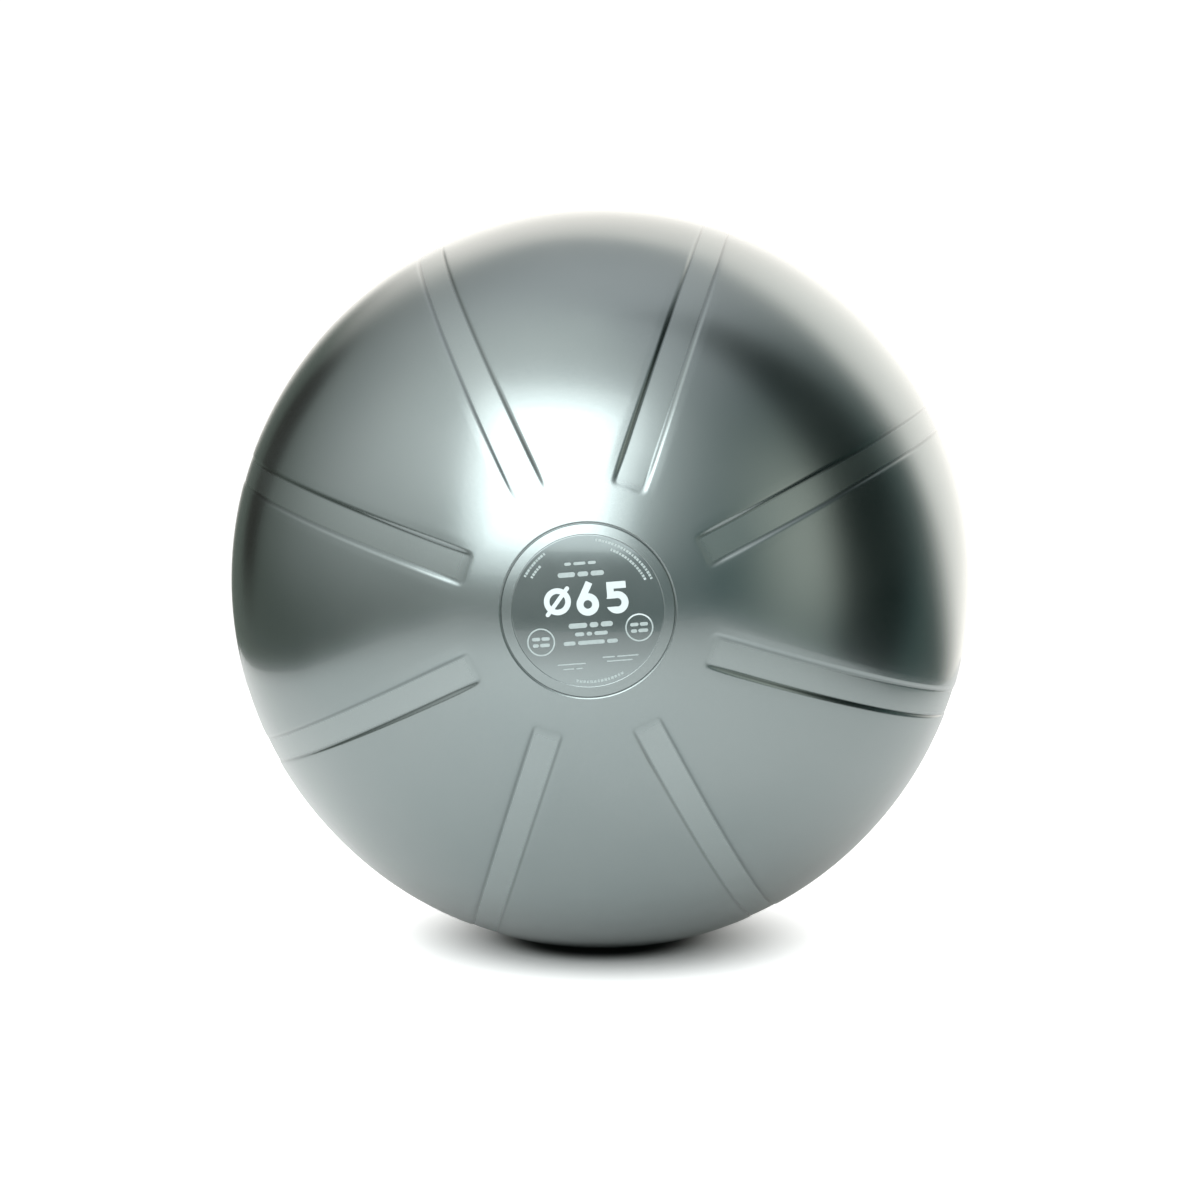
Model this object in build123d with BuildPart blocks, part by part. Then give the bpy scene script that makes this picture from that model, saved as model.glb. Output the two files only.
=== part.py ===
from build123d import *
from math import cos, degrees, radians, sin, sqrt
import os

# An inflated exercise ball standing on a level floor, in millimetres.
# +Z is up and the origin is on the floor, under the ball's centre. The ball has two poles on a level
# axis: the label pole faces -Y and the valve pole faces +Y. Eight recessed bands run from pole to pole,
# deepest near the poles and nearly flush halfway between them.

# ---- driving dimensions ----
ball_radius = 325.0
wall = 1.2
rest_radius = 40.0  # the flat that the ball's own weight presses into the skin
roll = 4.3  # degrees that the ball stands turned about its pole axis, counter-clockwise seen from the front

# bands
band_count = 8
band_width = 23.4
band_end_depth = 2.2  # at the foot of the scoop near either pole
band_middle_depth = 0.7  # halfway between the poles, where a band is nearly flush with the skin
band_start = 17.0  # degrees from either pole to where a band begins
band_ramp = 32.0  # length of the scoop in which a band reaches its greatest depth
band_corner = 0.5
band_mouth = 4.0  # height of the band cutters above the skin

# label pad
pad_line_radius = 65.7
pad_line_width = 1.6
pad_line_depth = 0.6
film_radius = 57.0
film_curve_radius = 2 * ball_radius  # the pad is stiffer than the skin, so it bulges half as much
film_thickness = 0.3
ink_thickness = 0.1

# valve seat and plug, measured out from the pole axis
seat_radius = 15.0
seat_flange_radius = 22.0
seat_flange_thickness = 2.2
seat_neck_radius = 8.0
seat_neck_length = 24.0
bore_radius = 4.05
head_recess_radius = 10.5
head_recess_depth = 2.0
pry_pocket_width = 7.0
pry_pocket_reach = 12.8
pry_pocket_depth = 0.6
pry_pocket_inside = 6.5  # clear of the bore
seat_chamfer = 0.5
head_radius = 10.0
head_thickness = 1.8
head_dome = 0.25
head_bevel = 0.6
rib_radius = 4.0
stem_radius = 3.5
rib_count = 5
rib_pitch = 4.6
rib_land = 1.4  # straight part of a rib, before its barb tapers to the stem
tip_radius = 2.4
tip_length = 5.0
tip_chamfer = 0.7

# ---- derived places ----
rest_depth = ball_radius - sqrt(ball_radius**2 - rest_radius**2)
centre = Vector(0, 0, ball_radius - rest_depth)
pole_axis = Axis(centre, (0, 1, 0))
inner_radius = ball_radius - wall

film_edge = sqrt(ball_radius**2 - film_radius**2)  # from the centre to the plane of the film's rim
film_centre = film_edge - sqrt(film_curve_radius**2 - film_radius**2)
seat_face = sqrt(ball_radius**2 - seat_radius**2)
recess_floor = seat_face - head_recess_depth


def meridian(angle, towards=-1):
    """Plane through the poles: its x runs to the label pole (towards=-1) or the valve pole (towards=1),
    and its y points away from the pole axis at that angle from +X, seen from the front."""
    out = Vector(cos(radians(angle)), 0, sin(radians(angle)))
    pole = Vector(0, towards, 0)
    return Plane(origin=centre, x_dir=pole, z_dir=pole.cross(out))


def on_sphere(radius, off_axis):
    """Distance along the pole axis of a sphere's point that is off_axis from it."""
    return sqrt(radius**2 - off_axis**2)


def polar(radius, angle):
    """Point of a meridian plane at that distance from the centre and angle from the pole."""
    return (radius * cos(radians(angle)), radius * sin(radians(angle)))


def shallow_arc(curve_radius, start, end):
    """Arc about the ball's centre in a meridian plane, from one point to another."""
    middle = (Vector(*start) + Vector(*end)) * 0.5
    return ThreePointArc(start, middle.normalized() * curve_radius, end)


# ---- band cutters: each is a meridian slice with a scooped end near either pole ----
def band_cutters(surface_radius, width, corner):
    ramp_angle = degrees(band_ramp / surface_radius)
    floor_start = band_start + ramp_angle
    # the scoop climbs about as the square of the distance, from the floor's end to the mouth's
    mouth_start = floor_start - sqrt(1 + band_mouth / band_end_depth) * ramp_angle
    mouth_radius = surface_radius + band_mouth
    front = polar(surface_radius - band_end_depth, floor_start)
    rear = polar(surface_radius - band_end_depth, 180 - floor_start)
    front_mouth = polar(mouth_radius, mouth_start)
    rear_mouth = polar(mouth_radius, 180 - mouth_start)
    with BuildPart() as cutter:
        with BuildSketch(meridian(0)):
            with BuildLine():
                band_floor = ThreePointArc(front, (0, surface_radius - band_middle_depth), rear)
                TangentArc(front, front_mouth, tangent=(band_floor % 0) * -1)
                TangentArc(rear, rear_mouth, tangent=band_floor % 1)
                shallow_arc(mouth_radius, front_mouth, rear_mouth)
            make_face()
        extrude(amount=width / 2, both=True)
        long_edges = cutter.edges().filter_by(lambda edge: edge.length > ball_radius)
        fillet(long_edges.sort_by(SortBy.LENGTH)[:2], corner)
    with BuildPart() as cutters:
        for index in range(band_count):
            turn = (index + 0.5) * 360 / band_count + roll
            add(cutter.part.rotate(pole_axis, -turn))
    return cutters.part


# ---- air chamber: what the skin leaves free inside ----
film_back = film_curve_radius - film_thickness
with BuildPart() as air_chamber:
    with BuildSketch(meridian(90)):
        with BuildLine():
            pad_back = film_back - wall
            pad_point = (film_centre + on_sphere(pad_back, film_radius), film_radius)
            pad_middle = film_centre + on_sphere(pad_back, film_radius / 2)
            chamber_edge = (on_sphere(inner_radius, film_radius), film_radius)
            ThreePointArc((film_centre + pad_back, 0), (pad_middle, film_radius / 2), pad_point)
            Line(pad_point, chamber_edge)
            ThreePointArc(chamber_edge, (0, inner_radius), (-inner_radius, 0))
            Line((-inner_radius, 0), (film_centre + pad_back, 0))
        make_face()
    revolve(axis=pole_axis)
    add(band_cutters(inner_radius, band_width + 2 * wall, band_corner + wall), mode=Mode.SUBTRACT)
    split(bisect_by=Plane.XY.offset(wall), keep=Keep.TOP)

# ---- skin: one seamless moulding ----
with BuildPart() as ball_shell:
    with BuildSketch(meridian(90)):
        with BuildLine():
            apex = (film_centre + film_back, 0)
            pad_seat = (film_centre + on_sphere(film_back, film_radius), film_radius)
            pad_middle = film_centre + on_sphere(film_back, film_radius / 2)
            pad_rim = (film_edge, film_radius)
            line_inside = pad_line_radius - pad_line_width / 2
            line_outside = pad_line_radius + pad_line_width / 2
            line_start = (on_sphere(ball_radius, line_inside), line_inside)
            line_floor = (
                on_sphere(ball_radius - pad_line_depth, pad_line_radius),
                pad_line_radius,
            )
            line_end = (on_sphere(ball_radius, line_outside), line_outside)
            ThreePointArc(apex, (pad_middle, film_radius / 2), pad_seat)
            Line(pad_seat, pad_rim)
            shallow_arc(ball_radius, pad_rim, line_start)
            ThreePointArc(line_start, line_floor, line_end)
            ThreePointArc(line_end, (0, ball_radius), (-ball_radius, 0))
            Line((-ball_radius, 0), apex)
        make_face()
    revolve(axis=pole_axis)
    add(band_cutters(ball_radius, band_width, band_corner), mode=Mode.SUBTRACT)
    split(bisect_by=Plane.XY, keep=Keep.TOP)
    add(air_chamber.part, mode=Mode.SUBTRACT)
    # the opening that the valve seat fills
    with BuildSketch(Plane(origin=centre, x_dir=(1, 0, 0), z_dir=(0, 1, 0))):
        Circle(seat_radius)
    extrude(amount=ball_radius + 1, mode=Mode.SUBTRACT)

# ---- film: a thin cap in the pad's seat, flush with the skin at its rim ----
with BuildPart() as label_disc:
    with BuildSketch(meridian(90)):
        with BuildLine():
            face_middle = film_centre + on_sphere(film_curve_radius, film_radius / 2)
            face_apex = (film_centre + film_curve_radius, 0)
            ThreePointArc(face_apex, (face_middle, film_radius / 2), pad_rim)
            Line(pad_rim, pad_seat)
            ThreePointArc(pad_seat, (pad_middle, film_radius / 2), apex)
            Line(apex, face_apex)
        make_face()
    revolve(axis=pole_axis)

# ---- ink: generic marks printed on the film ----
glyph_height = 24.0
glyph_stroke = 5.2
glyph_row = 8.6  # height of the big marks' middle above the film's middle
bowl_radius = 8.4
badge_radius = 10.5
badge_stroke = 1.1
badge_places = ((-36.5, -21.0), (37.5, -15.0))
fine_height = 1.9


def dash_row(x, y, lengths, height, gap=1.8):
    """Row of bars with round ends, centred on x."""
    total = sum(lengths) + gap * (len(lengths) - 1)
    place = x - total / 2
    for length in lengths:
        with Locations((place + length / 2, y)):
            SlotOverall(length, height)
        place += length + gap


def dash_arc(radius, start, end, count, height):
    """Short bars set round an arc, like fine print that follows the rim."""
    step = (end - start) / count
    for index in range(count):
        length = radians(abs(step)) * radius * (0.78 if index % 3 else 0.55)
        at = radians(start + (index + 0.5) * step)
        place = Location((radius * cos(at), radius * sin(at), 0), (0, 0, degrees(at)))
        with Locations(place):
            Rectangle(height, length)


def diameter_sign(x, y):
    ring_radius = 10.1
    ring_stroke = 4.2
    slash_length = 27.8
    slash_width = 3.1
    with Locations((x, y)):
        Circle(ring_radius)
        Circle(ring_radius - ring_stroke, mode=Mode.SUBTRACT)
        SlotOverall(slash_length, slash_width, rotation=50)


def numeral_six(x, y):
    lean = 62.0
    bowl_y = y + bowl_radius - glyph_height / 2
    tangent = radians(lean + 90)
    stem_middle = bowl_radius - glyph_stroke / 2
    stem_length = 15.5
    stem_x = x + stem_middle * cos(tangent) + stem_length / 2 * cos(radians(lean))
    stem_y = bowl_y + stem_middle * sin(tangent) + stem_length / 2 * sin(radians(lean))
    with Locations((stem_x, stem_y)):
        Rectangle(stem_length, glyph_stroke, rotation=lean)
    with Locations((x, bowl_y)):
        Circle(bowl_radius)
        Circle(bowl_radius - glyph_stroke, mode=Mode.SUBTRACT)


def numeral_five(x, y):
    bowl_y = y + bowl_radius - glyph_height / 2
    top = y + glyph_height / 2
    left = x - bowl_radius + 1.2
    opening = 2 * (bowl_radius - glyph_stroke) - 0.2
    foot = bowl_y + opening / 2
    with Locations((x, bowl_y)):
        Circle(bowl_radius)
        Circle(bowl_radius - glyph_stroke, mode=Mode.SUBTRACT)
    with Locations((x - bowl_radius / 2 - 1, bowl_y)):
        Rectangle(bowl_radius + 0.4, opening, mode=Mode.SUBTRACT)
    with Locations((x, top - glyph_stroke / 2)):
        Rectangle(2 * (x - left), glyph_stroke)
    with Locations((left + glyph_stroke / 2, (top + foot) / 2)):
        Rectangle(glyph_stroke, top - foot)


def badge(x, y):
    """Ring round two rows of bars."""
    with Locations((x, y)):
        Circle(badge_radius)
        Circle(badge_radius - badge_stroke, mode=Mode.SUBTRACT)
    dash_row(x, y + 2.4, (6.2, 6.2), 2.6, gap=0.9)
    dash_row(x, y - 2.4, (4.6, 7.4), 2.6, gap=0.9)


ink_face_radius = film_curve_radius + ink_thickness
label_turn = Vector(cos(radians(roll)), 0, sin(radians(roll)))
label_plane = Plane(origin=centre, x_dir=label_turn, z_dir=(0, -1, 0))
film_curve_centre = Location(centre + Vector(0, -film_centre, 0))
with BuildPart() as label_print:
    with BuildSketch(label_plane.offset(film_edge)):
        dash_row(-3.0, 36.0, (5.0, 9.0, 6.0), 2.2)
        dash_row(-3.0, 28.0, (13.0, 8.0, 10.0), 3.6)
        diameter_sign(-22.0, glyph_row)
        numeral_six(0.5, glyph_row)
        numeral_five(22.5, glyph_row)
        dash_row(1.5, -10.4, (14.0, 6.5, 9.0), 3.8)
        dash_row(1.5, -16.9, (7.0, 4.0, 10.0), 2.8)
        dash_row(0.5, -23.4, (9.0, 20.0, 8.0), 3.0)
        for badge_place in badge_places:
            badge(*badge_place)
        dash_row(-15.0, -39.0, (21.0,), 0.9)
        dash_row(-14.0, -42.6, (8.0, 5.0), 0.8)
        dash_row(22.0, -35.4, (9.0, 16.0), 1.0)
        dash_row(21.0, -38.6, (19.0,), 0.9)
        dash_arc(53.4, 148, 122, 10, fine_height)
        dash_arc(48.6, 146, 132, 5, fine_height)
        dash_arc(53.4, 80, 22, 22, fine_height)
        dash_arc(49.0, 66, 24, 15, fine_height)
        dash_arc(53.2, -104, -64, 14, fine_height)
    extrude(amount=film_curve_radius - film_edge)
    with Locations(film_curve_centre):
        Sphere(ink_face_radius, mode=Mode.INTERSECT)
        Sphere(film_curve_radius, mode=Mode.SUBTRACT)

# ---- valve seat: fills the skin's opening, with a flange bonded behind it ----
flange_back = inner_radius - seat_flange_thickness
seat_neck_end = recess_floor - seat_neck_length
with BuildPart() as valve_seat:
    with BuildSketch(meridian(90, towards=1)):
        with BuildLine():
            skin_corner = (on_sphere(inner_radius, seat_radius), seat_radius)
            flange_corner = (on_sphere(inner_radius, seat_flange_radius), seat_flange_radius)
            flange_under = (on_sphere(flange_back, seat_flange_radius), seat_flange_radius)
            neck_root = (on_sphere(flange_back, seat_neck_radius), seat_neck_radius)
            Polyline(
                (seat_neck_end, bore_radius),
                (recess_floor, bore_radius),
                (recess_floor, head_recess_radius),
                (seat_face, head_recess_radius),
                (seat_face, seat_radius),
                skin_corner,
            )
            shallow_arc(inner_radius, skin_corner, flange_corner)
            Line(flange_corner, flange_under)
            shallow_arc(flange_back, flange_under, neck_root)
            Polyline(neck_root, (seat_neck_end, seat_neck_radius), (seat_neck_end, bore_radius))
        make_face()
    revolve(axis=pole_axis)
    # two pockets under the head's rim, for lifting the plug out
    with BuildSketch(Plane(origin=centre, x_dir=(-1, 0, 0), z_dir=(0, 1, 0)).offset(seat_face)):
        SlotOverall(2 * pry_pocket_reach, pry_pocket_width)
        Circle(pry_pocket_inside, mode=Mode.SUBTRACT)
    extrude(amount=-head_recess_depth - pry_pocket_depth, mode=Mode.SUBTRACT)
    neck_rim = valve_seat.edges().filter_by(GeomType.CIRCLE).sort_by(Axis.Y)[:2]
    chamfer(neck_rim, seat_chamfer)

# ---- valve plug: a flat head on a barbed stem ----
head_top = recess_floor + head_thickness
with BuildPart() as valve_plug:
    with BuildSketch(meridian(90, towards=1)):
        with BuildLine():
            ThreePointArc(
                (head_top + head_dome, 0),
                (head_top + head_dome * 0.75, head_radius / 2),
                (head_top, head_radius - head_bevel),
            )
            Polyline(
                (head_top, head_radius - head_bevel),
                (head_top - head_bevel, head_radius),
                (recess_floor, head_radius),
                (recess_floor, rib_radius),
            )
            place = recess_floor
            for rib in range(rib_count):
                land_end = place - rib_land
                barb = place - rib_pitch
                Polyline(
                    (place, rib_radius),
                    (land_end, rib_radius),
                    (barb, stem_radius),
                    (barb, rib_radius),
                )
                place = barb
            stem_end = place - rib_land
            tip_end = stem_end - tip_length
            Polyline(
                (place, rib_radius),
                (stem_end, rib_radius),
                (tip_end, tip_radius),
                (tip_end, 0),
                (head_top + head_dome, 0),
            )
        make_face()
    revolve(axis=pole_axis)
    chamfer(valve_plug.edges().filter_by(GeomType.CIRCLE).sort_by(Axis.Y)[0], tip_chamfer)

# ---- files ----
pieces = {
    "ball_shell": ball_shell,
    "label_disc": label_disc,
    "label_print": label_print,
    "valve_seat": valve_seat,
    "valve_plug": valve_plug,
}
os.makedirs("parts", exist_ok=True)
for name, piece in pieces.items():
    piece.part.label = name
    export_step(piece.part, f"parts/{name}.step")
    print(name, len(piece.part.solids()), "solids,", round(piece.part.volume), "mm3")
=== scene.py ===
import math

import bpy
import numpy as np
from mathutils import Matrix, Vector


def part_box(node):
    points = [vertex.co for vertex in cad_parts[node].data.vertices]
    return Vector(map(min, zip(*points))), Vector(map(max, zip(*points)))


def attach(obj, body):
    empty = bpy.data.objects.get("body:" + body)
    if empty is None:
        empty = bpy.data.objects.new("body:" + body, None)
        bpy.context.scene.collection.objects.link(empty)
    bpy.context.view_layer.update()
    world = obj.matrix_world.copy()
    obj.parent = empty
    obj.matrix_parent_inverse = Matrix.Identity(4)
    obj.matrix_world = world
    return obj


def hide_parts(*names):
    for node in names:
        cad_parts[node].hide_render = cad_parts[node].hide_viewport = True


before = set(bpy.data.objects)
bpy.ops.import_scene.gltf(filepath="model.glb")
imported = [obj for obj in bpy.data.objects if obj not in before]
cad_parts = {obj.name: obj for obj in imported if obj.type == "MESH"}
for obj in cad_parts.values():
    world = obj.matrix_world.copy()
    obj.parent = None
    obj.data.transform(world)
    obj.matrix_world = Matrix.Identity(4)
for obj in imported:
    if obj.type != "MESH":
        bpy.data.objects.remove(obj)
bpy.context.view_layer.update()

# The exercise ball, in metres, in the frame of the CAD model: +Z is up, the origin is on the floor
# under the ball, the label pole faces -Y and the valve pole faces +Y.

MM = 0.001
BALL_RADIUS = 325.0 * MM
WALL = 1.2 * MM
ROLL = math.radians(4.3)  # how far the ball stands turned about its pole axis

BAND_COUNT = 8
BAND_HALF_WIDTH = 11.8 * MM  # to the crease along a band's side
BAND_END_DEPTH = 2.1 * MM  # at the foot of the scoop
BAND_MIDDLE_DEPTH = 0.6 * MM  # halfway between the poles
BAND_START = math.radians(17.0)  # from either pole
BAND_RAMP = 34.0 * MM  # length of the scoop
BAND_END_CORNER = 5.0 * MM
BAND_END_STEP = 0.08  # share of the depth that a band has at its very end
SIDE_WALL = (-2.4 * MM, 3.0 * MM)  # from the crease: the wall's foot and its top edge
CREASE_DEPTH = 0.22 * MM  # below the band's floor
CREASE = (-2.4 * MM, -0.6 * MM, 1.4 * MM)
CREASE_FADE = (0.0 * MM, 14.0 * MM)  # where the crease's depth sets in, from the band's end
CREASE_SHADE_FADE = (-1.0 * MM, 9.0 * MM)  # the same for the painted shade that darkens the crease
BAND_TONE = (-3.0 * MM, -1.2 * MM)  # from the wall: where the lighter tone of a band's floor stops
BAND_TONE_FADE = (0.0 * MM, 10.0 * MM)
SHOULDER_REACH = 9.5 * MM
SHOULDER_SHARE = 0.13  # share of the depth taken by the rounded shoulder outside the wall

PAD_LINE_RADIUS = 65.7 * MM  # the line round the label pad
PAD_LINE_HALF = 0.9 * MM
PAD_LINE_DEPTH = 0.75 * MM
FILM_RADIUS = 57.0 * MM
FILM_CURVE = 2 * BALL_RADIUS
FILM_THICKNESS = 0.3 * MM
NUMERAL_ROW = 8.6 * MM  # height of the printed numerals above the film's middle

PARTING_HALF = 0.55 * MM  # the parting line is a low ridge halfway between the poles
PARTING_HEIGHT = 0.16 * MM
WAVE_COUNT = 14
WAVE_LENGTHS = (70, 240)  # mm
WAVE_STEEPNESS = 0.00022  # height over length
WAVES_FADE = (57 * MM, 80 * MM)  # distance from the pole axis where the waves set in
REST_BLEND = 1.0 * MM  # half height of the soft edge round the flat that the ball rests on

_, shell_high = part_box("ball_shell")
CENTRE = Vector((0, 0, shell_high.z - BALL_RADIUS))

FILM_EDGE = math.sqrt(BALL_RADIUS**2 - FILM_RADIUS**2)
FILM_CENTRE = FILM_EDGE - math.sqrt(FILM_CURVE**2 - FILM_RADIUS**2)


# ---------------------------------------------------------------- camera
CAMERA_AZIMUTH = math.radians(1.77)
CAMERA_ELEVATION = math.radians(4.26)
CAMERA_DISTANCE = 6 * BALL_RADIUS
FOCAL_IN_FRAMES = 1.822  # focal length as a share of the frame's width
AIM_BELOW_CENTRE = 18.7 * MM
AIM_LEFT_OF_CENTRE = 0.9 * MM


def make_camera():
    """Camera in front of the label, a little above the ball's middle."""
    data = bpy.data.cameras.new("camera")
    data.sensor_width = 36.0
    data.lens = FOCAL_IN_FRAMES * data.sensor_width
    camera = bpy.data.objects.new("camera", data)
    bpy.context.scene.collection.objects.link(camera)
    out = Vector((
        math.sin(CAMERA_AZIMUTH) * math.cos(CAMERA_ELEVATION),
        -math.cos(CAMERA_AZIMUTH) * math.cos(CAMERA_ELEVATION),
        math.sin(CAMERA_ELEVATION),
    ))
    right = Vector((math.cos(CAMERA_AZIMUTH), math.sin(CAMERA_AZIMUTH), 0))
    up = out.cross(right)
    aim = CENTRE - up * AIM_BELOW_CENTRE - right * AIM_LEFT_OF_CENTRE
    camera.location = CENTRE + out * CAMERA_DISTANCE
    camera.rotation_euler = (camera.location - aim).to_track_quat("Z", "Y").to_euler()
    bpy.context.scene.camera = camera


# ---------------------------------------------------------------- mesh helpers
def smooth_step(value, low, high):
    """0 below low, 1 above high, and a smooth rise between."""
    share = np.clip((value - low) / (high - low), 0, 1)
    return share * share * (3 - 2 * share)


def spaced(start, stop, step):
    """Evenly spaced values from start up to, and without, stop."""
    count = max(1, round((stop - start) / step))
    return [start + (stop - start) * index / count for index in range(count)]


def mesh_piece(name, points, faces, body, material, replaced):
    """Makes a smooth mesh object that rides a body in place of CAD nodes."""
    mesh = bpy.data.meshes.new(name)
    mesh.from_pydata(points, [], faces)
    mesh.validate()
    mesh.polygons.foreach_set("use_smooth", [True] * len(mesh.polygons))
    mesh.update()
    mesh.materials.append(material)
    piece = bpy.data.objects.new(name, mesh)
    bpy.context.scene.collection.objects.link(piece)
    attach(piece, body)
    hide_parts(*replaced)
    return piece


def grid_faces(rows, columns, first=0, flip=False):
    """Quads of a grid whose columns close into a ring, row after row."""
    faces = []
    for row in range(rows - 1):
        for column in range(columns):
            after = (column + 1) % columns
            near, far = first + row * columns, first + (row + 1) * columns
            quad = (near + column, far + column, far + after, near + after)
            faces.append(quad[::-1] if flip else quad)
    return faces


# ---------------------------------------------------------------- the skin's shape
PLAIN_COLUMNS = 10  # on half of the plain skin between two bands
AROUND_CREASE = (-3.0, -2.4, -1.8, -1.2, -0.6, -0.1, 0.4, 0.9, 1.4, 1.9, 2.5, 3.1)  # mm


def band_columns():
    """Distances of the columns from a band's middle line, as far as the band's shape reaches."""
    across = [0, 3 * MM, 5.5 * MM, 7.5 * MM]
    across += [BAND_HALF_WIDTH + place * MM for place in AROUND_CREASE]
    return across + [15.5 * MM, 16.8 * MM, 18.2 * MM, 19.6 * MM, 20.9 * MM]


def sector_angles(ring_radius):
    """Azimuths from a band's middle to the middle of the plain skin beside it, for one ring."""
    reach = max(ring_radius, FILM_RADIUS)
    angles = [math.asin(place / reach) for place in band_columns()]
    last = angles[-1]
    edge = math.pi / BAND_COUNT
    return angles + [last + (edge - last) * (index + 1) / PLAIN_COLUMNS for index in range(PLAIN_COLUMNS)]


def ring_azimuths(ring_radius):
    """Azimuths of all columns of one ring, round the pole axis from +X towards +Z, and the distance of
    each from the nearest band's middle."""
    half = sector_angles(ring_radius)
    sector = [-angle for angle in half[-2::-1]] + half[1:]
    turns, off = [], []
    for index in range(BAND_COUNT):
        middle = (index + 0.5) * 2 * math.pi / BAND_COUNT + ROLL
        turns += [middle + angle for angle in sector]
        off += sector
    return np.array(turns), np.abs(np.array(off))


def band_shape(along, across):
    """Depth of the recessed bands, how much a place is on a band's floor, and how much painted shade
    darkens it
    in the crease along its side: along is the distance from the band's end, across from its middle."""
    foot = math.sin(BAND_START + BAND_RAMP / BALL_RADIUS)
    poleward = (1 - math.sin(BAND_START + max(along, 0) / BALL_RADIUS)) / (1 - foot)
    full_depth = BAND_MIDDLE_DEPTH + (BAND_END_DEPTH - BAND_MIDDLE_DEPTH) * min(poleward, 1)
    inside_x = across - (BAND_HALF_WIDTH - BAND_END_CORNER)
    inside_s = BAND_END_CORNER - along
    outside = np.hypot(np.maximum(inside_x, 0), np.maximum(inside_s, 0))
    edge = outside + np.minimum(np.maximum(inside_x, inside_s), 0) - BAND_END_CORNER
    share = np.clip(1 - along / BAND_RAMP, 0, 1)
    scoop = BAND_END_STEP + (1 - BAND_END_STEP) * (1 - share**2)
    wall = 1 - smooth_step(edge, *SIDE_WALL)
    shoulder = 1 - smooth_step(edge, 0, SHOULDER_REACH)
    depth = full_depth * scoop * ((1 - SHOULDER_SHARE) * wall + SHOULDER_SHARE * shoulder)
    crease = smooth_step(edge, CREASE[0], CREASE[1]) * (1 - smooth_step(edge, CREASE[1], CREASE[2]))
    depth = depth + CREASE_DEPTH * crease * smooth_step(along, *CREASE_FADE)
    floor = (1 - smooth_step(edge, *BAND_TONE)) * smooth_step(along, *BAND_TONE_FADE)
    # the third share is painted shade: a darker base colour in the crease, fading in from the band's end
    return depth, floor, crease * smooth_step(along, *CREASE_SHADE_FADE)


def unevenness(points):
    """Slow waves of a few hundredths of a millimetre, as a blown skin has."""
    waves = np.zeros(len(points))
    random = np.random.default_rng(65)
    for _ in range(WAVE_COUNT):
        direction = random.normal(size=3)
        direction /= np.linalg.norm(direction)
        length = random.uniform(*WAVE_LENGTHS) * MM
        phase = random.uniform(0, 2 * math.pi)
        waves += WAVE_STEEPNESS * length * np.sin(points @ direction * 2 * math.pi / length + phase)
    return waves


def settle(points, floor):
    """Flattens what would be below the floor, with a soft edge."""
    z = points[:, 2] - floor
    low = z < REST_BLEND
    z[low] = np.maximum(z[low] + REST_BLEND, 0) ** 2 / (4 * REST_BLEND)
    points[:, 2] = z + floor


def skin_ring(angle, ring_radius, inset, on_pad):
    """One ring of the skin, at an angle from the label pole or, on the pad, at a distance from its axis."""
    turns, off = ring_azimuths(ring_radius)
    out = np.stack([np.cos(turns), np.zeros(len(turns)), np.sin(turns)], axis=1)
    pole = np.array([0.0, -1.0, 0.0])
    if on_pad:
        curve = FILM_CURVE - FILM_THICKNESS - inset
        along_pole = FILM_CENTRE + math.sqrt(curve**2 - ring_radius**2)
        points = out * ring_radius + pole * along_pole
        band = crease = np.zeros(len(turns))
    else:
        direction = out * math.sin(angle) + pole * math.cos(angle)
        across = BALL_RADIUS * math.sin(angle) * np.sin(off)
        along = BALL_RADIUS * (min(angle, math.pi - angle) - BAND_START)
        depth, band, crease = band_shape(along, across)
        line = abs(ring_radius - PAD_LINE_RADIUS)
        if angle < math.pi / 2 and line < PAD_LINE_HALF:
            groove = 1 - (line / PAD_LINE_HALF) ** 2
            depth = depth + PAD_LINE_DEPTH * groove
            # the line round the pad gets the same painted shade
            crease = crease + groove
        seam = abs(angle - math.pi / 2) * BALL_RADIUS
        if seam < PARTING_HALF:
            depth = depth - PARTING_HEIGHT * (1 - (seam / PARTING_HALF) ** 2)
        depth = depth + unevenness(direction * BALL_RADIUS) * smooth_step(ring_radius, *WAVES_FADE)
        points = direction * (BALL_RADIUS - inset - depth)[:, None]
    points = points + np.array(CENTRE)
    settle(points, inset)
    return points, band, crease


# Places of the skin's rings in millimetres. The inside of the skin has only some of them.
PAD_RINGS = (14, 28, 40, 48, 53, 55.5, 56.7, 57.0)  # from the pole axis
PAD_RINGS_INSIDE = (28, 48, 57.0)
LINE_RINGS = [64.3, 64.7, 64.95, 65.2, 65.45, 65.7, 65.95, 66.2, 66.45, 66.7, 67.1]
LABEL_RINGS = [57.0, 57.6, 59, 61, 63] + LINE_RINGS + [68.5] + spaced(71, 92, 3.5)
LABEL_RINGS_INSIDE = (57.0, 63, 68.5, 81.5)
SCOOP_FINE = (-3.2, 7.2, 0.65)  # from, to and step along the meridian, from a band's end
SCOOP_COARSE = (7.2, 46, 3.0)
BAND_STEP = 5.2
PARTING_CLEAR = 6
PARTING_RINGS = (-2.5, -1.2, -0.55, -0.35, -0.15, 0.0, 0.15, 0.35, 0.55, 1.2, 2.5)
INSIDE_EVERY = 4
VALVE_RINGS = spaced(90, 60, -4) + spaced(60, 24, -5) + [24, 20, 17.5, 16, 15.4, 15.0]
VALVE_RINGS_INSIDE = (78, 60, 40, 24, 15.0)


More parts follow.
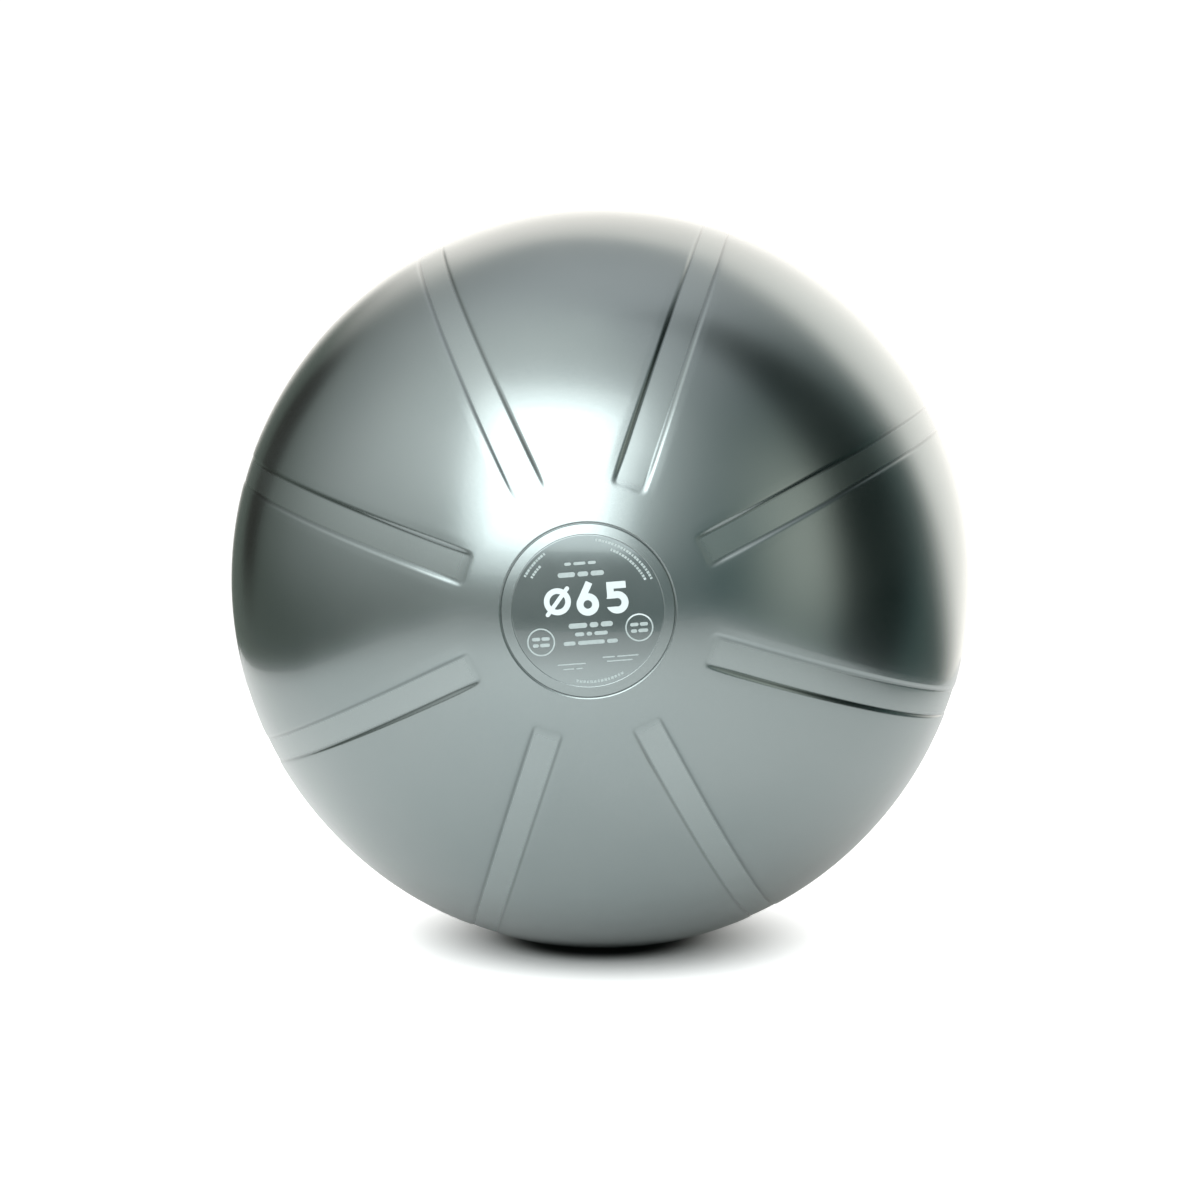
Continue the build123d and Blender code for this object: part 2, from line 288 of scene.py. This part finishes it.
def skin_rings():
    """(angle, ring radius, on the pad, also on the inside) from the label pole to the valve opening."""
    rings = []
    for radius in PAD_RINGS:
        angle = math.asin(radius * MM / BALL_RADIUS)
        rings.append((angle, radius * MM, True, radius in PAD_RINGS_INSIDE))
    for radius in LABEL_RINGS:
        angle = math.asin(radius * MM / BALL_RADIUS)
        rings.append((angle, radius * MM, False, radius in LABEL_RINGS_INSIDE))
    start = BAND_START * BALL_RADIUS / MM
    half = math.pi / 2 * BALL_RADIUS / MM
    arcs = []
    for first, last, step in (SCOOP_FINE, SCOOP_COARSE):
        arcs += spaced(start + first, start + last, step)
    arcs += spaced(start + SCOOP_COARSE[1], half - PARTING_CLEAR, BAND_STEP)
    middle = [half + place for place in PARTING_RINGS]
    far = [2 * half - arc for arc in arcs[::-1]]
    for index, arc in enumerate(arcs + middle + far):
        angle = arc * MM / BALL_RADIUS
        rings.append((angle, BALL_RADIUS * math.sin(angle), False, index % INSIDE_EVERY == 0))
    for radius in VALVE_RINGS:
        angle = math.pi - math.asin(radius * MM / BALL_RADIUS)
        rings.append((angle, radius * MM, False, radius in VALVE_RINGS_INSIDE))
    return rings


def make_skin(material):
    """One closed mesh: the outside from the label pole to the valve opening, and the inside back again."""
    rings = skin_rings()
    outer = [skin_ring(angle, radius, 0.0, on_pad) for angle, radius, on_pad, _ in rings]
    inner = [skin_ring(angle, radius, WALL, on_pad) for angle, radius, on_pad, inside in rings if inside]
    columns = len(outer[0][0])
    points = np.concatenate([ring for ring, _, _ in outer + inner])
    # per point: the lighter tone of the band floors, and the painted shade in the creases and the pad line
    shares = {
        "band": np.concatenate([band for _, band, _ in outer + inner]),
        "crease": np.concatenate([crease for _, _, crease in outer + inner]),
    }
    inner_first = len(outer) * columns
    faces = grid_faces(len(outer), columns)
    faces += grid_faces(len(inner), columns, first=inner_first, flip=True)
    outer_rim = (len(outer) - 1) * columns
    inner_rim = inner_first + (len(inner) - 1) * columns
    for column in range(columns):
        after = (column + 1) % columns
        faces.append((outer_rim + column, inner_rim + column, inner_rim + after, outer_rim + after))
    apex = len(points)
    pad = FILM_CENTRE + FILM_CURVE - FILM_THICKNESS
    apexes = np.array([[0, -pad, 0], [0, -pad + WALL, 0]]) + np.array(CENTRE)
    points = np.concatenate([points, apexes])
    for column in range(columns):
        after = (column + 1) % columns
        faces.append((apex, column, after))
        faces.append((apex + 1, inner_first + after, inner_first + column))
    skin = mesh_piece("ball_skin", points.tolist(), faces, "ball", material, ["ball_shell"])
    for name, share in shares.items():
        attribute = skin.data.attributes.new(name, "FLOAT", "POINT")
        attribute.data.foreach_set("value", np.append(share, [0, 0]).astype(np.float32))


# ---------------------------------------------------------------- the label film
FILM_COLUMNS = 192


def lathe(name, profile, columns, body, material, replaced):
    """Closed piece turned about the pole axis from points (towards the label, off the axis); the first
    and last points are on the axis."""
    pole = np.array([0.0, -1.0, 0.0])
    side = np.array([1.0, 0.0, 0.0])
    high = np.cross(side, pole)
    points, rings = [], []
    for along, off in profile:
        if off < 1e-9:
            rings.append([len(points)])
            points.append(pole * along)
            continue
        rings.append(list(range(len(points), len(points) + columns)))
        for column in range(columns):
            turn = 2 * math.pi * column / columns
            points.append(pole * along + (side * math.cos(turn) + high * math.sin(turn)) * off)
    faces = []
    for near, far in zip(rings, rings[1:]):
        for column in range(columns):
            after = (column + 1) % columns
            corners = [near[column % len(near)], far[column % len(far)]]
            corners += [far[after % len(far)], near[after % len(near)]]
            faces.append(tuple(dict.fromkeys(corners)))
    points = [tuple(point + np.array(CENTRE)) for point in points]
    return mesh_piece(name, points, faces, body, material, replaced)


def make_film(material):
    """The clear film in its seat: a thin cap with a fine bevel round its rim."""
    profile = []
    bevel = 0.12 * MM
    front_rings = [0.0] + spaced(3, 54, 3) + [54, 55.2, 56.1, 56.6]
    back_rings = (56, 48, 36, 24, 12, 0)
    for radius in front_rings:
        radius = radius * MM
        profile.append((FILM_CENTRE + math.sqrt(FILM_CURVE**2 - radius**2), radius))
    rim = FILM_CENTRE + math.sqrt(FILM_CURVE**2 - FILM_RADIUS**2)
    profile += [(rim, FILM_RADIUS - bevel), (rim - bevel, FILM_RADIUS)]
    profile.append((rim - FILM_THICKNESS, FILM_RADIUS))
    back = FILM_CURVE - FILM_THICKNESS
    for radius in back_rings:
        profile.append((FILM_CENTRE + math.sqrt(back**2 - (radius * MM) ** 2), radius * MM))
    return lathe("label_film", profile, FILM_COLUMNS, "ball", material, ["label_disc"])


# ---------------------------------------------------------------- materials
def new_material(name):
    material = bpy.data.materials.new(name)
    material.use_nodes = True
    tree = material.node_tree
    shader = next(each for each in tree.nodes if each.type == "BSDF_PRINCIPLED")
    return material, tree, shader


def node(tree, kind, links=(), **values):
    """Adds a node, sets its inputs and properties by name and links sockets into it by index."""
    made = tree.nodes.new(kind)
    for key, value in values.items():
        if key in made.inputs:
            made.inputs[key].default_value = value
        else:
            setattr(made, key, value)
    for index, socket in links:
        tree.links.new(socket, made.inputs[index])
    return made


def maths(tree, operation, *terms):
    made = tree.nodes.new("ShaderNodeMath")
    made.operation = operation
    for index, term in enumerate(terms):
        if isinstance(term, bpy.types.NodeSocket):
            tree.links.new(term, made.inputs[index])
        else:
            made.inputs[index].default_value = term
    return made.outputs[0]


def map_range(tree, value, from_low, from_high, to_low, to_high):
    made = tree.nodes.new("ShaderNodeMapRange")
    made.interpolation_type = "SMOOTHSTEP"
    tree.links.new(value, made.inputs[0])
    for index, number in enumerate((from_low, from_high, to_low, to_high)):
        made.inputs[index + 1].default_value = number
    return made.outputs[0]


def mix_colour(tree, share, first, second):
    made = tree.nodes.new("ShaderNodeMix")
    made.data_type = "RGBA"
    for socket, value in ((made.inputs[0], share), (made.inputs[6], first), (made.inputs[7], second)):
        if isinstance(value, bpy.types.NodeSocket):
            tree.links.new(value, socket)
        else:
            socket.default_value = value
    return made.outputs[2]


def noise(tree, coordinates, scale, detail=2.0):
    made = tree.nodes.new("ShaderNodeTexNoise")
    made.inputs["Scale"].default_value = scale
    made.inputs["Detail"].default_value = detail
    tree.links.new(coordinates, made.inputs["Vector"])
    return made.outputs[0]


def bump(tree, height, distance, strength):
    made = tree.nodes.new("ShaderNodeBump")
    made.inputs["Strength"].default_value = strength
    made.inputs["Distance"].default_value = distance
    tree.links.new(height, made.inputs["Height"])
    return made.outputs[0]


def object_coordinates(tree):
    return tree.nodes.new("ShaderNodeTexCoord").outputs["Object"]


def pearl_vinyl():
    """Silver vinyl with pearl pigment: a blurred metallic body under a thin clear gloss."""
    material, tree, shader = new_material("pearl_vinyl")
    place = object_coordinates(tree)
    cloud = noise(tree, place, 9.0, 3.0)
    flake = noise(tree, place, 2600.0, 1.0)
    grain = noise(tree, place, 260.0, 2.0)
    base = mix_colour(tree, cloud, (0.225, 0.262, 0.264, 1), (0.255, 0.286, 0.286, 1))
    base = mix_colour(tree, map_range(tree, flake, 0.45, 0.8, 0.0, 0.3), base, (0.42, 0.46, 0.46, 1))
    on_band = node(tree, "ShaderNodeAttribute", attribute_name="band").outputs["Fac"]
    base = mix_colour(tree, maths(tree, "MULTIPLY", on_band, 0.32), base, (0.36, 0.40, 0.40, 1))
    # painted shade: the creases along the bands and the line round the pad are darkened in the base colour
    crease_painted_shade = node(tree, "ShaderNodeAttribute", attribute_name="crease").outputs["Fac"]
    base = mix_colour(tree, maths(tree, "MULTIPLY", crease_painted_shade, 0.6), base, (0.10, 0.12, 0.12, 1))
    tree.links.new(base, shader.inputs["Base Color"])
    rough = map_range(tree, cloud, 0.3, 0.7, 0.235, 0.265)
    rough = maths(tree, "ADD", rough, maths(tree, "MULTIPLY", on_band, 0.04))
    tree.links.new(rough, shader.inputs["Roughness"])
    shader.inputs["Metallic"].default_value = 1.0
    shader.inputs["Coat Weight"].default_value = 0.35
    shader.inputs["Coat Roughness"].default_value = 0.07
    peel = bump(tree, grain, 0.00003, 0.35)
    tree.links.new(peel, shader.inputs["Normal"])
    return material


def label_film():
    """The same pearl under a smooth clear film."""
    material, tree, shader = new_material("label_film")
    place = object_coordinates(tree)
    cloud = noise(tree, place, 30.0, 2.0)
    base = mix_colour(tree, cloud, (0.215, 0.252, 0.256, 1), (0.24, 0.275, 0.277, 1))
    tree.links.new(base, shader.inputs["Base Color"])
    shader.inputs["Metallic"].default_value = 0.92
    rough = map_range(tree, cloud, 0.3, 0.7, 0.10, 0.14)
    tree.links.new(rough, shader.inputs["Roughness"])
    shader.inputs["Coat Weight"].default_value = 0.8
    shader.inputs["Coat Roughness"].default_value = 0.03
    return material


def ink():
    """White screen-printing ink: solid in the big numerals, thinner in the fine print round them."""
    material, tree, shader = new_material("white_ink")
    place = object_coordinates(tree)
    cover = noise(tree, place, 420.0, 3.0)
    height = node(tree, "ShaderNodeSeparateXYZ", [(0, place)]).outputs[2]
    from_row = maths(tree, "ABSOLUTE", maths(tree, "SUBTRACT", height, CENTRE.z + NUMERAL_ROW))
    solid = map_range(tree, from_row, 13 * MM, 17 * MM, 1.0, 0.0)
    thin = mix_colour(tree, cover, (0.28, 0.33, 0.33, 1), (0.40, 0.46, 0.46, 1))
    thick = mix_colour(tree, cover, (0.52, 0.58, 0.60, 1), (0.60, 0.66, 0.67, 1))
    tree.links.new(mix_colour(tree, solid, thin, thick), shader.inputs["Base Color"])
    shader.inputs["Roughness"].default_value = 0.35
    tree.links.new(bump(tree, cover, 0.00002, 0.3), shader.inputs["Normal"])
    return material


def soft_plastic(name, dark, light, rough):
    """Moulded soft plastic with a fine sparked grain."""
    material, tree, shader = new_material(name)
    place = object_coordinates(tree)
    cloud = noise(tree, place, 120.0, 3.0)
    grain = noise(tree, place, 1500.0, 2.0)
    tree.links.new(mix_colour(tree, cloud, dark, light), shader.inputs["Base Color"])
    tree.links.new(map_range(tree, cloud, 0.3, 0.7, rough - 0.05, rough + 0.05), shader.inputs["Roughness"])
    tree.links.new(bump(tree, grain, 0.00004, 0.4), shader.inputs["Normal"])
    return material


# ---------------------------------------------------------------- studio
PAPER = (  # corners of the white paper under the ball: a wide apron in front and a narrower strip behind
    (-1.9, -2.4, 0),
    (1.6, -2.4, 0),
    (0.85, 0, 0),
    (0.85, 1.8, 0),
    (-1.05, 1.8, 0),
    (-1.05, 0, 0),
)

# The room round the ball, as soft-edged areas painted over one another: middle azimuth from the front
# towards +X and middle elevation, half width and half height in degrees, softness as a share of the
# size, brightness and tint.
SURROUNDINGS = (
    ("front_of_room", 62, 7, 56, 40, 0.93, 0.12, (0.3, 1.1, 1.1)),
    ("gap_beside_ceiling", -55, 38, 47, 17, 0.53, 0.01, (1.0, 1.0, 1.0)),
    ("wall_on_the_right", 71, 11.5, 20, 22, 0.84, 0.98, (0.96, 1.0, 0.89)),
    ("white_ceiling", -40, 52, 64, 44, 0.68, 1.43, (0.97, 1.0, 0.98)),
    ("dark_curtain", 92, 16.5, 16.5, 60, 0.44, 0.02, (0.4, 1.1, 0.9)),
    ("dark_doorway", -135, 12, 7.5, 17, 0.35, 0.02, (1.3, 1.0, 0.8)),
    ("backdrop", 161.5, 19, 38, 31, 0.2, 1.72, (1.04, 1.0, 0.94)),
    ("backdrop_left", -174.5, 35, 26, 11.5, 0.6, 1.47, (1.05, 1.0, 0.94)),
)
LOW_ROOM = (0.15, 0.18, 0.155, 1)
HIGH_ROOM = (0.98, 1.0, 1.02, 1)

KEY_AZIMUTH = math.radians(-13.2)
KEY_ELEVATION = math.radians(30.5)
KEY_DISTANCE = 1.41
KEY_PANELS = (("key_middle", 0.80, 0.96, 3.9), ("key_rim", 1.16, 1.34, 1.5))  # width, height, brightness


def make_world():
    """The room that the ball mirrors, and a plain white for the camera."""
    world = bpy.data.worlds.new("studio")
    bpy.context.scene.world = world
    world.use_nodes = True
    tree = world.node_tree
    tree.nodes.clear()
    direction = tree.nodes.new("ShaderNodeTexCoord").outputs["Generated"]
    split = node(tree, "ShaderNodeSeparateXYZ", [(0, direction)])
    forward = maths(tree, "MULTIPLY", split.outputs[1], -1.0)
    azimuth = maths(tree, "ARCTAN2", split.outputs[0], forward)
    elevation = maths(tree, "ARCSINE", split.outputs[2])
    high = map_range(tree, elevation, math.radians(15), math.radians(80), 0.0, 1.0)
    colour = mix_colour(tree, high, LOW_ROOM, HIGH_ROOM)
    for _, middle, height, half_width, half_height, soft, bright, tint in SURROUNDINGS:
        turned = maths(tree, "SUBTRACT", azimuth, math.radians(middle))
        turned = maths(tree, "WRAP", turned, math.pi, -math.pi)
        across = maths(tree, "DIVIDE", turned, math.radians(half_width))
        raised = maths(tree, "SUBTRACT", elevation, math.radians(height))
        above = maths(tree, "DIVIDE", raised, math.radians(half_height))
        across = maths(tree, "POWER", maths(tree, "ABSOLUTE", across), 3.0)
        above = maths(tree, "POWER", maths(tree, "ABSOLUTE", above), 3.0)
        reach = maths(tree, "POWER", maths(tree, "ADD", across, above), 1 / 3)
        mask = map_range(tree, reach, 1 - soft, 1 + soft, 1.0, 0.0)
        colour = mix_colour(tree, mask, colour, tuple(bright * part for part in tint) + (1,))
    surroundings = node(tree, "ShaderNodeBackground", [(0, colour)])
    plain = node(tree, "ShaderNodeBackground", Color=(1, 1, 1, 1), Strength=1.1)
    seen = tree.nodes.new("ShaderNodeLightPath").outputs["Is Camera Ray"]
    links = [(0, seen), (1, surroundings.outputs[0]), (2, plain.outputs[0])]
    mixed = node(tree, "ShaderNodeMixShader", links)
    node(tree, "ShaderNodeOutputWorld", [(0, mixed.outputs[0])])


def make_key_light():
    """One big softbox in front and above: a bright middle and a dimmer rim."""
    out = Vector((
        math.sin(KEY_AZIMUTH) * math.cos(KEY_ELEVATION),
        -math.cos(KEY_AZIMUTH) * math.cos(KEY_ELEVATION),
        math.sin(KEY_ELEVATION),
    ))
    for name, width, height, bright in KEY_PANELS:
        data = bpy.data.lights.new(name, "AREA")
        data.shape = "RECTANGLE"
        data.size, data.size_y = width, height
        data.energy = bright * math.pi * width * height
        data.color = (0.96, 1.0, 1.0)
        light = bpy.data.objects.new(name, data)
        bpy.context.scene.collection.objects.link(light)
        light.location = CENTRE + out * KEY_DISTANCE
        light.rotation_euler = out.to_track_quat("Z", "Y").to_euler()
        light.visible_camera = False


def make_floor():
    """White paper floor with a painted contact shadow right under the ball, and a painted glow that makes
    it brighter away from the ball; camera rays see a stronger painted glow near the ball.
    """
    material, tree, shader = new_material("studio_floor")
    place = object_coordinates(tree)
    away = node(tree, "ShaderNodeVectorMath", [(0, place)], operation="LENGTH").outputs["Value"]
    base = mix_colour(tree, noise(tree, place, 3.0), (0.89, 0.89, 0.89, 1), (0.91, 0.91, 0.91, 1))
    # painted contact shadow: the floor's base colour turns nearly black right under the ball
    painted_contact_shadow = map_range(tree, away, 0.065, 0.105, 1.0, 0.0)
    base = mix_colour(tree, painted_contact_shadow, base, (0.03, 0.035, 0.035, 1))
    tree.links.new(base, shader.inputs["Base Color"])
    shader.inputs["Roughness"].default_value = 0.7
    shader.inputs["Specular IOR Level"].default_value = 0.1
    # painted light: the floor glows more the further it is from the ball
    painted_floor_glow = map_range(tree, away, 0.12, 0.5, 0.0, 0.12)
    # painted light seen only by camera rays: a stronger glow round the ball that shrinks its shadow
    bright = map_range(tree, away, 0.07, 0.25, 0.0, 0.9)
    seen = tree.nodes.new("ShaderNodeLightPath").outputs["Is Camera Ray"]
    strength = maths(tree, "ADD", painted_floor_glow, maths(tree, "MULTIPLY", seen, bright))
    tree.links.new(strength, shader.inputs["Emission Strength"])
    shader.inputs["Emission Color"].default_value = (1, 1, 1, 1)
    mesh = bpy.data.meshes.new("studio_floor")
    mesh.from_pydata(PAPER, [], [(0, 1, 2, 5), (5, 2, 3, 4)])
    mesh.materials.append(material)
    floor = bpy.data.objects.new("studio_floor", mesh)
    bpy.context.scene.collection.objects.link(floor)


def dress(name, material):
    """Gives a CAD node that keeps its shape its finish."""
    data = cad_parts[name].data
    data.materials.clear()
    data.materials.append(material)


make_camera()
make_world()
make_key_light()
make_floor()
make_skin(pearl_vinyl())
make_film(label_film())
dress("label_print", ink())
dress("valve_seat", soft_plastic("seat_vinyl", (0.24, 0.26, 0.26, 1), (0.30, 0.32, 0.32, 1), 0.45))
dress("valve_plug", soft_plastic("plug_plastic", (0.76, 0.77, 0.74, 1), (0.84, 0.85, 0.82, 1), 0.42))
bpy.context.scene.view_settings.view_transform = "Standard"
